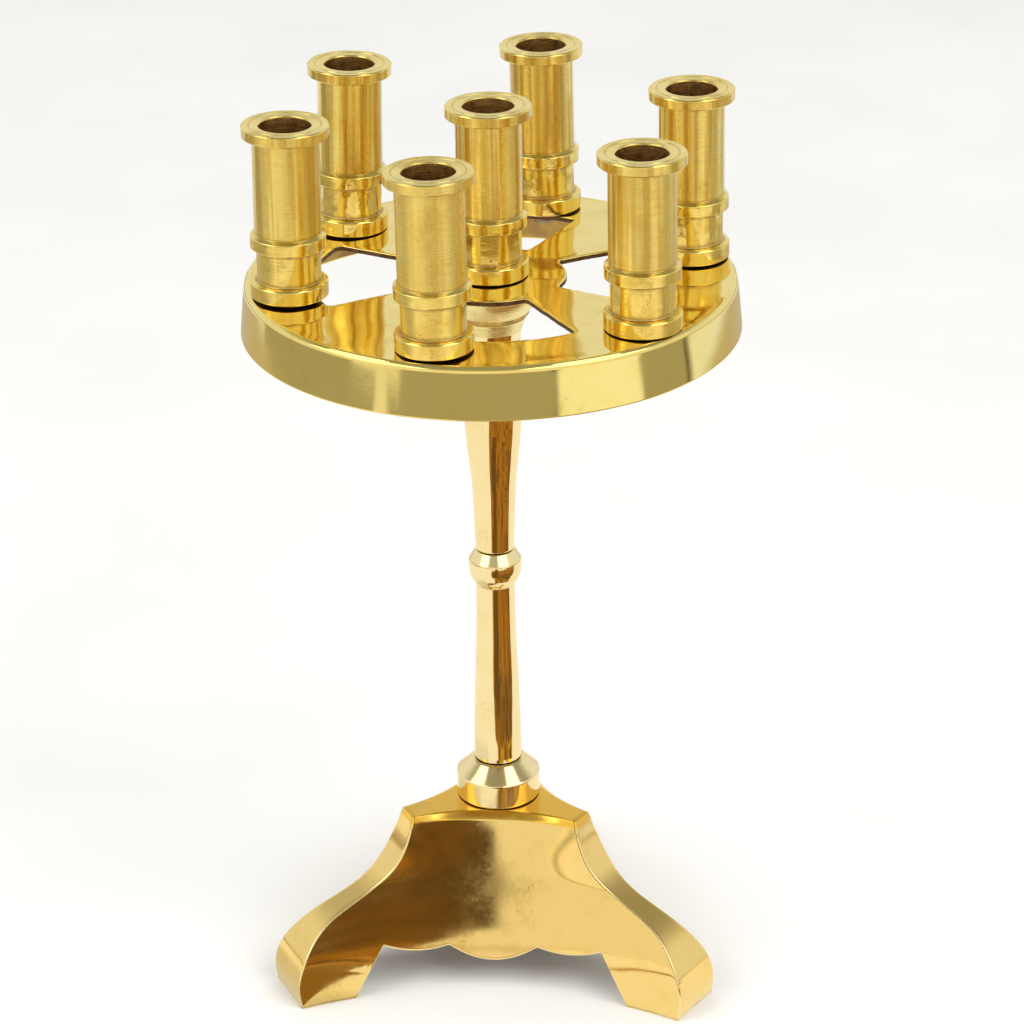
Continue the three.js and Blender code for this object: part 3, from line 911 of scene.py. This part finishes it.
def build_plate():
    low, high = (c.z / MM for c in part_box("plate"))
    under = high - SHEET
    holes = [circle(ROD_HOLE, 40)]
    for joint in frame["joints"]:
        x, y, _ = (c / MM for c in joint["pos_m"])
        holes.append(circle(SCREW_HOLE, 32, x, y))
    windows = [roughened(window_outline(WINDOW_START + k * TAU / 4), 0.14, 50 + k) for k in range(4)]
    sawn = holes + windows
    shell = Shell()
    bevel, burr = 0.5, 0.05
    for zone, height, side, edge in ((FACE, high, -bevel, TOP_EDGE), (UNDERSIDE, under, -burr, UNDER_EDGE)):
        points, faces = pierced_disc(circle(edge, RIM_SIDES), [shrunk(h, side) for h in sawn], 1.35)
        if zone == UNDERSIDE:
            faces = [f[::-1] for f in faces]
        shell.add(level(points, height), faces, zone)
    for k, ring in enumerate(sawn):
        rows = [
            level(shrunk(ring, -bevel * (1 - math.sin(t))), high - 0.5 * bevel * (1 - math.cos(t)))
            for t in np.linspace(0, math.pi / 2, 5)
        ]
        for t in (0.35, 0.55, 0.75):
            rows.append(level(roughened(ring, 0.05, 60 + k + t), high - SHEET * t))
        rows += [level(ring, under + burr), level(shrunk(ring, -burr), under)]
        shell.band(rows[:5], FACE, [0.9] * 5)
        shell.band(rows[4:], SAWN)
    rows, bends = plate_rim_rows()
    turned_over = next(k for k, row in enumerate(rows) if row[0, 2] < low + 0.5)
    shell.band(rows[: turned_over + 1], UNDERSIDE, bends[: turned_over + 1])
    shell.band(rows[turned_over:], SKIRT, bends[turned_over:])
    looks = [
        brass("plate_top_brass", 45, (0.03, 0.06), 0.45, 0.02, pits=0.15, scratches=0.1, base=BRASS_PLATE),
        dark_metal("plate_sawn_edge", 46, (0.24, 0.14, 0.065), 0.55, 0.6),
        brass(
            "plate_skirt_brass", 47, (0.05, 0.09), 0.25, 0.02, 0.35, 0.01, wave=0.003, wave_size=16,
            pits=0.15, scratches=0.1, base=BRASS_PLATE,
        ),
        brass(
            "plate_under_brass", 48, (0.36, 0.50), 0.6, 0.3, 0.5, 0.02, pits=0.3, scratches=0.2,
            base=(0.42, 0.27, 0.11),
        ),
    ]
    piece = shell.joined("plate_brass", looks, plate_shape)
    sharpen(piece, 40)
    settle(piece, "stand", ["plate"])


# ---------------------------------------------------------------- foot

FOOT_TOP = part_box("foot")[1].z / MM
LEG_TURNS = [math.radians(a) for a in (90, 210, 330)]
LEG_HEIGHTS = [0, 6, 12, 17, 22, 26, 31, 37, 44.9]
LEG_REACH = [60.7, 61.3, 59.5, 55.8, 49.0, 40.5, 33.2, 29.0, 25.8]
LEG_WIDTH = [16.8, 16.2, 15.0, 11.8, 8.2, 7.0, 8.4, 8.8, 6.3]
ARCH_FOOT, ARCH_SHOULDER, ARCH_CUSP = (35, 0), (28.2, 13.2), (11.4, 12.1)
SIDE_SAG, TIP_SAG = 1.6, 3.9
FOOT_ROLL, FOOT_ROWS, ROLL_ROWS = 42.5, 50, 14
FOOT_WALL, FOOT_EDGE = 2.6, 0.38


def spline(xs, ys):
    """Natural cubic spline through the knots, as a function of an array."""
    xs, ys = np.array(xs, float), np.array(ys, float)
    n = len(xs)
    gap, rise = np.diff(xs), np.diff(ys) / np.diff(xs)
    system, right = np.eye(n), np.zeros(n)
    for i in range(1, n - 1):
        system[i, i - 1 : i + 2] = gap[i - 1], 2 * (gap[i - 1] + gap[i]), gap[i]
        right[i] = 6 * (rise[i] - rise[i - 1])
    bend = np.linalg.solve(system, right)

    def value(x):
        x = np.clip(x, xs[0], xs[-1])
        i = np.clip(np.searchsorted(xs, x) - 1, 0, n - 2)
        h, a, b = gap[i], xs[i + 1] - x, x - xs[i]
        return (
            (bend[i] * a**3 + bend[i + 1] * b**3) / (6 * h)
            + (ys[i] / h - bend[i] * h / 6) * a
            + (ys[i + 1] / h - bend[i + 1] * h / 6) * b
        )

    return value


leg_reach = spline(LEG_HEIGHTS, LEG_REACH)
leg_width = spline(LEG_HEIGHTS, LEG_WIDTH)


def panel_depth(z):
    """Distance from the axis to the middle of a concave panel."""
    plain = np.interp(z, [0, 8, FOOT_TOP], [25.7, 25, 12.1])
    knee = 0.35 * np.exp(-(((z - 8) / 4.5) ** 2))
    rolled = 0.7 * np.clip(z - 43.1, 0, 0.7) ** 2 + 0.98 * np.clip(z - 43.8, 0, None)
    return plain - knee - rolled


def panel_point(z, u):
    """Depth and side of a panel's point, for u from -1 at one edge to 1 at the other."""
    reach, width = leg_reach(z), leg_width(z)
    end_depth = reach * math.cos(math.pi / 3) + width / 2 * math.sin(math.pi / 3)
    end_side = reach * math.sin(math.pi / 3) - width / 2 * math.cos(math.pi / 3)
    sagitta = end_depth - panel_depth(z)
    radius = (end_side**2 + sagitta**2) / (2 * sagitta)
    turn = u * np.arcsin(end_side / radius)
    return panel_depth(z) + radius - radius * np.cos(turn), radius * np.sin(turn)


def arch_height(side):
    """Height of the scalloped lower edge over the floor."""
    t = abs(side)
    if t >= ARCH_FOOT[0]:
        return 0.0
    if t >= ARCH_SHOULDER[0]:
        return float(np.interp(t, [ARCH_SHOULDER[0], ARCH_FOOT[0]], [ARCH_SHOULDER[1], 0]))
    if t >= ARCH_CUSP[0]:
        along = (t - ARCH_CUSP[0]) / (ARCH_SHOULDER[0] - ARCH_CUSP[0])
        straight = ARCH_CUSP[1] + along * (ARCH_SHOULDER[1] - ARCH_CUSP[1])
        return straight - 4 * SIDE_SAG * along * (1 - along)
    along = (t + ARCH_CUSP[0]) / (2 * ARCH_CUSP[0])
    return ARCH_CUSP[1] - 4 * TIP_SAG * along * (1 - along)


def share_at(side, z):
    """The u whose point lies a given distance to the side at a height."""
    low, high = 0.0, 1.0
    for _ in range(40):
        middle = (low + high) / 2
        low, high = (middle, high) if panel_point(z, middle)[1] < side else (low, middle)
    return low


def panel_columns():
    """u of each column of the panel's grid, with a column at each corner of the lower edge."""
    marks = [0, share_at(*ARCH_CUSP), share_at(*ARCH_SHOULDER), share_at(*ARCH_FOOT), 1]
    half = []
    for (a, b), n in zip(zip(marks, marks[1:]), (13, 17, 9, 10)):
        half += list(np.linspace(a, b, n + 1)[:-1])
    half.append(1.0)
    return [-u for u in half[:0:-1]] + half


def column_foot(u):
    """Height at which a column of the grid meets the lower edge."""
    z = 0.0
    for _ in range(30):
        z = 0.5 * z + 0.5 * arch_height(float(panel_point(z, u)[1]))
    return z


def column_heights(low):
    """Heights of a column's points, closer together where the top rolls over."""
    rolled = np.linspace(FOOT_ROLL, FOOT_TOP, ROLL_ROWS)[1:]
    return np.r_[np.linspace(low, FOOT_ROLL, FOOT_ROWS), rolled]


def facing(depth, side, z, direction):
    """Points of a panel whose middle faces a direction."""
    c, s = math.cos(direction), math.sin(direction)
    return np.stack([depth * c - side * s, depth * s + side * c, z], axis=1)


def foot_outside():
    """Grid of the foot's outer face: a list of columns, each from the lower edge to the top."""
    columns = []
    us = panel_columns()
    for leg in LEG_TURNS:
        direction = leg + math.pi / 3
        for u in us:
            z = column_heights(column_foot(u))
            columns.append(facing(*panel_point(z, u), z, direction))
        z = column_heights(0)
        near = columns[-1]
        far = facing(*panel_point(z, -1.0), z, direction + 2 * math.pi / 3)
        columns += [near + (far - near) * t for t in np.linspace(0, 1, 8)[1:-1]]
    return columns


def foot_shape(points):
    """Slow unevenness left by the files and the buffing wheel."""
    _, out = from_axis(points)
    fade = np.clip(points[:, 2] / 3, 0, 1) * np.clip((FOOT_TOP - points[:, 2]) / 1.5, 0, 1)
    move = 0.04 * waves(points, 20, 71, 1) + 0.002 * waves(points, 7, 72, 1)
    moved = points.copy()
    moved[:, :2] += out * (fade * move)[:, None]
    return moved


def weigh_edges(piece, degrees, low, high):
    """Marks for a bevel the outside edges sharper than an angle, between two heights."""
    with mesh_of(piece) as mesh:
        weight = mesh.edges.layers.float.new("bevel_weight_edge")
        for edge in mesh.edges:
            outside = any(face.material_index < 2 for face in edge.link_faces)
            bent = len(edge.link_faces) == 2 and edge.calc_face_angle() > math.radians(degrees)
            reached = all(low < v.co.z < high for v in edge.verts)
            edge[weight] = float(outside and bent and reached)


def build_foot():
    columns = np.array(foot_outside())
    shell = Shell()
    rows = columns.transpose(1, 0, 2)
    shell.band(rows[: FOOT_ROWS + 4], 0)
    shell.band(rows[FOOT_ROWS + 3 :], 1)
    rim = columns[:, -1]
    turn = np.arctan2(rim[:, 1], rim[:, 0])
    hole = np.stack([ROD_HOLE * np.cos(turn), ROD_HOLE * np.sin(turn), rim[:, 2]], axis=1)
    shell.band([rim + (hole - rim) * t for t in np.linspace(0, 1, 14)], 1)
    looks = [
        brass("foot_side_brass", 73, (0.07, 0.11), 0.3, pits=0.1, scratches=0.12, base=BRASS_FOOT),
        # The top's orange brass is a painted reflection of the plate's underside.
        brass("foot_top_brass", 74, (0.17, 0.25), 0.6, pits=0.15, scratches=0.15, base=FOOT_TOP_PAINTED_REFLECTION),
        dark_metal("foot_inside", 75, (0.34, 0.22, 0.11), 0.55, 0.1),
        # Paler brass of the bevelled edges: partly wear, partly a painted highlight line along them.
        brass("foot_worn_and_highlit_edge", 76, (0.16, 0.24), 0.1, pits=0.1, scratches=0.1, base=(0.93, 0.75, 0.36)),
    ]
    piece = shell.joined("foot_brass", looks, foot_shape)
    wall = piece.modifiers.new("wall", "SOLIDIFY")
    wall.thickness = FOOT_WALL * MM
    wall.offset = -1
    wall.use_even_offset = True
    wall.material_offset = 2
    apply_modifiers(piece)
    for polygon in piece.data.polygons:
        polygon.material_index = min(polygon.material_index, 2)
    for vertex in piece.data.vertices:
        if vertex.co.z < 0.0002:
            vertex.co.z = 0.0
    weigh_edges(piece, 32, 0.4 * MM, FOOT_ROLL * MM)
    edges = piece.modifiers.new("edges", "BEVEL")
    edges.width = FOOT_EDGE * MM
    edges.material = 3
    edges.segments = 3
    edges.limit_method = "WEIGHT"
    edges.use_clamp_overlap = False
    normals = piece.modifiers.new("facing", "WEIGHTED_NORMAL")
    normals.keep_sharp = False
    apply_modifiers(piece)
    settle(piece, "stand", ["foot"])


# ---------------------------------------------------------------- studio

NEAR_FLOOR = (1.0, 0.98, 0.94)
FRONT_FLOOR = (1.08, 0.97, 0.80)
SIDE_FLOOR = (0.55, 0.48, 0.37)
DARK_FLOOR = (0.13, 0.11, 0.07)
FAR_FLOOR = (0.39, 0.365, 0.31)
SOFTBOX = (2.0, 1.98, 1.9, 1)


def studio_material(name, colour):
    g = Graph(name)
    cloud = g.noise(g.place(1.0), 0.01, 2.0)
    darker = tuple(c * 0.96 for c in colour)
    shade = g.blend(g.ramp(cloud, 0.3, 0.7), colour, darker)
    return g.finish({"Base Color": shade, "Roughness": 0.9})


def stage_piece(name, points, faces, material):
    piece = new_object(name, points, faces, [material])
    return piece


def only_reflected(piece):
    piece.visible_camera = False
    piece.visible_diffuse = False
    piece.visible_shadow = False
    piece.visible_transmission = False


def flat_card(name, x0, x1, y0, y1, z, material):
    """Level rectangle whose places are in metres."""
    corners = [(x0 / MM, y0 / MM), (x1 / MM, y0 / MM), (x1 / MM, y1 / MM), (x0 / MM, y1 / MM)]
    return stage_piece(name, [(x, y, z / MM) for x, y in corners], [(0, 1, 2, 3)], material)


def glowing(g, colour):
    """Material that shows one brightness from every side."""
    glow = {"Emission Color": colour, "Emission Strength": 1.0}
    return g.finish({"Base Color": (0, 0, 0, 1), "Roughness": 1.0, **glow})


def floor_place(g):
    """Object coordinates, metres from the stand, and degrees from the front, right over 0."""
    here = g.node("ShaderNodeTexCoord").outputs["Object"]
    x, y, _ = g.parts(here)
    turn = g.math("ARCTAN2", x, g.times(y, -1.0))
    uneven = g.times_plus(g.noise(here, 7.0, 4.0, 0.6), 12.0, -6.0)
    return here, g.from_axis(x, y), g.times_plus(turn, 180 / math.pi, uneven)


def between(g, value, low, high, soft):
    """1 where a value lies between two limits."""
    return g.times(g.ramp(value, low, low + soft), g.ramp(value, high, high - soft))


def mirrored_floor_material():
    """The room's floor as the brass sees it: pale near the stand with a painted shadow beside the foot on its
    left, and a warm grey further off.
    """
    g = Graph("mirrored_floor")
    _, distance, turn = floor_place(g)
    patch = g.times(between(g, turn, -60, -33, 3), g.ramp(distance, 0.875, 0.885))
    patch = g.math("MAXIMUM", patch, between(g, turn, -48, -39, 2))
    dim = g.blend(patch, FAR_FLOOR, (0.87, 0.83, 0.80))
    dim = g.blend(between(g, turn, 32, 73, 3), dim, (1.02, 1.03, 1.05))
    dark = g.times(between(g, turn, 29, 33, 2), g.ramp(distance, 0.89, 0.87))
    dim = g.blend(dark, dim, DARK_FLOOR)
    dim = g.blend(between(g, turn, 98, 104, 2), dim, DARK_FLOOR)
    dim = g.blend(between(g, turn, -118, 103, 3), (0.88, 0.94, 1.10), dim)

    ahead = g.blend(between(g, turn, -75, 75, 30), SIDE_FLOOR, FRONT_FLOOR)
    near = g.blend(g.ramp(distance, 0.36, 0.44), NEAR_FLOOR, ahead)
    # Painted shadow of the plate and foot on the floor, close to the foot on its left.
    under = g.times(between(g, turn, -140, -38, 12), g.ramp(distance, 0.14, 0.08))
    near = g.blend(under, near, (0.72, 0.70, 0.64))
    return glowing(g, g.blend(between(g, distance, 0.60, 1.30, 0.05), near, dim))


def build_floor():
    """A floor for the camera, and over it one that only the brass sees."""
    square = (-9, 9, -9, 9)
    white = studio_material("floor_white", (0.76, 0.76, 0.755))
    floor = flat_card("floor", *square, cad_low.z - 0.0002, white)
    floor.visible_glossy = False
    only_reflected(flat_card("floor_mirrored", *square, cad_low.z - 0.0001, mirrored_floor_material()))


def ripples(g, distance, turn):
    """Uneven oval rings, from 0 to 1."""
    inputs = {0: g.times(turn, 0.06), 1: g.times(distance, 25.0), 2: 0.0}
    spread = g.node("ShaderNodeCombineXYZ", inputs).outputs[0]
    hills = g.noise(spread, 1.0, 1.5, 0.5)
    return g.times_plus(g.math("SINE", g.times(hills, 26.0)), 0.5, 0.5)


def warm_wall_material():
    """Brown, darkest at its left end and more orange low down."""
    g = Graph("warm_wall")
    here, distance, turn = floor_place(g)
    height = g.parts(here)[2]
    colour = g.blend(g.ramp(turn, -4, 4), (0.08, 0.043, 0.014), (0.165, 0.083, 0.015))
    colour = g.blend(g.ramp(height, 0.022, 0.006), colour, (0.36, 0.17, 0.02))
    rings = ripples(g, g.times_plus(height, 2.1, distance), turn)
    return glowing(g, g.blend(g.times(rings, 0.35), colour, (0.05, 0.02, 0.002)))


def warm_floor_material():
    g = Graph("warm_floor")
    _, distance, turn = floor_place(g)
    near = g.ramp(distance, 0.21, 0.17)
    dark = g.blend(near, (0.17, 0.065, 0.002), (0.11, 0.05, 0.006))
    light = g.blend(near, (0.46, 0.20, 0.008), (0.26, 0.125, 0.012))
    light = g.blend(g.ramp(distance, 0.135, 0.12), light, (0.60, 0.30, 0.03))
    return glowing(g, g.blend(ripples(g, distance, turn), dark, light))


def on_floor(distance, degrees, height=0.0):
    turn = math.radians(degrees)
    return (distance * math.sin(turn), -distance * math.cos(turn), height)


def fan_piece(name, outline, material):
    """Flat sheet on the floor, from points (distance, degrees from the front)."""
    corners = [Vector(on_floor(*p, cad_low.z)) for p in outline]
    return stage_piece(name, [c / MM for c in corners], [tuple(range(len(corners)))], material)


def warm_wall():
    """Curved sheet 120 mm out. Each row has degrees from the front, and lowest and highest point."""
    raised = [(-4, 26, 56), (-1, 24, 58), (1, 17, 64), (3, 12, 80), (6, 4, 84)]
    rows = [*raised, (8, 0, 85), (16, 0, 82), (19, 0, 12), (24, 0, 1)]
    turns = sorted({r[0] for r in rows} | set(range(10, 60, 5)))
    lows = np.interp(turns, [r[0] for r in rows], [r[1] for r in rows])
    highs = np.interp(turns, [r[0] for r in rows], [r[2] for r in rows])
    points = []
    for turn, low, high in zip(turns, lows, highs):
        points += [on_floor(120, turn, low), on_floor(120, turn, high)]
    faces = [(2 * i, 2 * i + 2, 2 * i + 3, 2 * i + 1) for i in range(len(turns) - 1)]
    return stage_piece("card_warm_wall", points, faces, warm_wall_material())


def build_cards():
    """Cards out of view that only show as reflections in the brass."""
    warm = warm_floor_material()
    plain = glowing(Graph("warm_patch"), (0.26, 0.13, 0.016, 1))
    left = [(0.070, -8), (0.10, 1), (0.114, 6), (0.125, 0), (0.15, -8), (0.20, -14), (0.33, -10), (0.40, -8)]
    right = [(0.41, 15), (0.41, 40), (0.41, 65), (0.41, 92), (0.20, 92), (0.13, 78), (0.088, 70), (0.088, 35)]
    patch = [(0.061, -51), (0.052, -28), (0.057, -24), (0.072, -6), (0.078, -3), (0.083, -14), (0.078, -40)]
    soft_left, soft_right = (glowing(Graph(f"softbox_{side}"), SOFTBOX) for side in ("left", "right"))
    cards = [
        warm_wall(),
        fan_piece("card_warm_floor", left + right, warm),
        fan_piece("card_warm_patch", patch, plain),
        flat_card("card_softbox_left", -2.25, -0.65, -1.5, 0.0, 1.3, soft_left),
        flat_card("card_softbox_right", 0.45, 2.05, -1.5, -0.1, 1.3, soft_right),
    ]
    for card in cards:
        only_reflected(card)


def area_light(name, x, y, z, width, depth, power, aim):
    data = bpy.data.lights.new(name, "AREA")
    data.shape = "RECTANGLE"
    data.size, data.size_y = width, depth
    data.energy = power
    lamp = bpy.data.objects.new(name, data)
    lamp.location = (x, y, z)
    lamp.rotation_euler = (Vector(aim) - Vector((x, y, z))).to_track_quat("-Z", "Y").to_euler()
    lamp.visible_camera = False
    lamp.visible_glossy = False
    bpy.context.scene.collection.objects.link(lamp)


def build_lights():
    """Lights of the white floor. The brass sees the cards instead."""
    area_light("softbox_left", -1.45, -0.75, 1.3, 1.6, 1.5, 33, (-1.45, -0.75, 0))
    area_light("softbox_right", 1.25, -0.8, 1.3, 1.6, 1.4, 36, (1.25, -0.8, 0))
    area_light("softbox_back", 0, 1.6, 1.8, 3.0, 1.6, 18, (0, 1.4, 0))


def build_world():
    g = Graph("studio", "worlds")
    bpy.context.scene.world = g.owner
    way = g.node("ShaderNodeTexCoord").outputs["Generated"]
    _, y, z = g.parts(way)
    low = g.blend(g.ramp(y, -0.5, 0.2), (0.95, 0.92, 0.86), (0.86, 0.87, 0.88))
    colour = g.blend(g.ramp(z, 0.42, 0.70), low, (0.36, 0.35, 0.31))
    back = g.node("ShaderNodeBackground", {"Color": colour, "Strength": 1.0})
    out = g.node("ShaderNodeOutputWorld")
    g.tree.links.new(back.outputs[0], out.inputs["Surface"])


def build_camera():
    """Camera of a long lens, turned by a heading, a pitch and a small roll."""
    heading, pitch, roll = (math.radians(a) for a in (4.67, -24.96, -0.75))
    level_part = math.cos(pitch)
    forward = Vector((-math.sin(heading) * level_part, math.cos(heading) * level_part, math.sin(pitch)))
    level_right = Vector((math.cos(heading), math.sin(heading), 0))
    level_up = level_right.cross(forward)
    right = math.cos(roll) * level_right + math.sin(roll) * level_up
    up = right.cross(forward)
    data = bpy.data.cameras.new("camera")
    data.lens, data.sensor_width = 118.84, 36.0
    data.clip_start, data.clip_end = 0.05, 50
    camera = bpy.data.objects.new("camera", data)
    bpy.context.scene.collection.objects.link(camera)
    turn = Matrix((right, up, -forward)).transposed().to_4x4()
    camera.matrix_world = Matrix.Translation((0.06713, -0.76725, 0.48337)) @ turn
    bpy.context.scene.camera = camera


def build_all():
    build_camera()
    build_world()
    build_lights()
    build_floor()
    build_cards()
    build_foot()
    build_foot_fixings()
    build_tie_rod()
    build_collar()
    build_lower_column()
    build_upper_column()
    build_plate()
    for seed, name in enumerate(SOCKET_LOOKS, 1):
        build_socket(name, seed)
    view = bpy.context.scene.view_settings
    view.view_transform = "Standard"
    view.look = "None"


build_all()
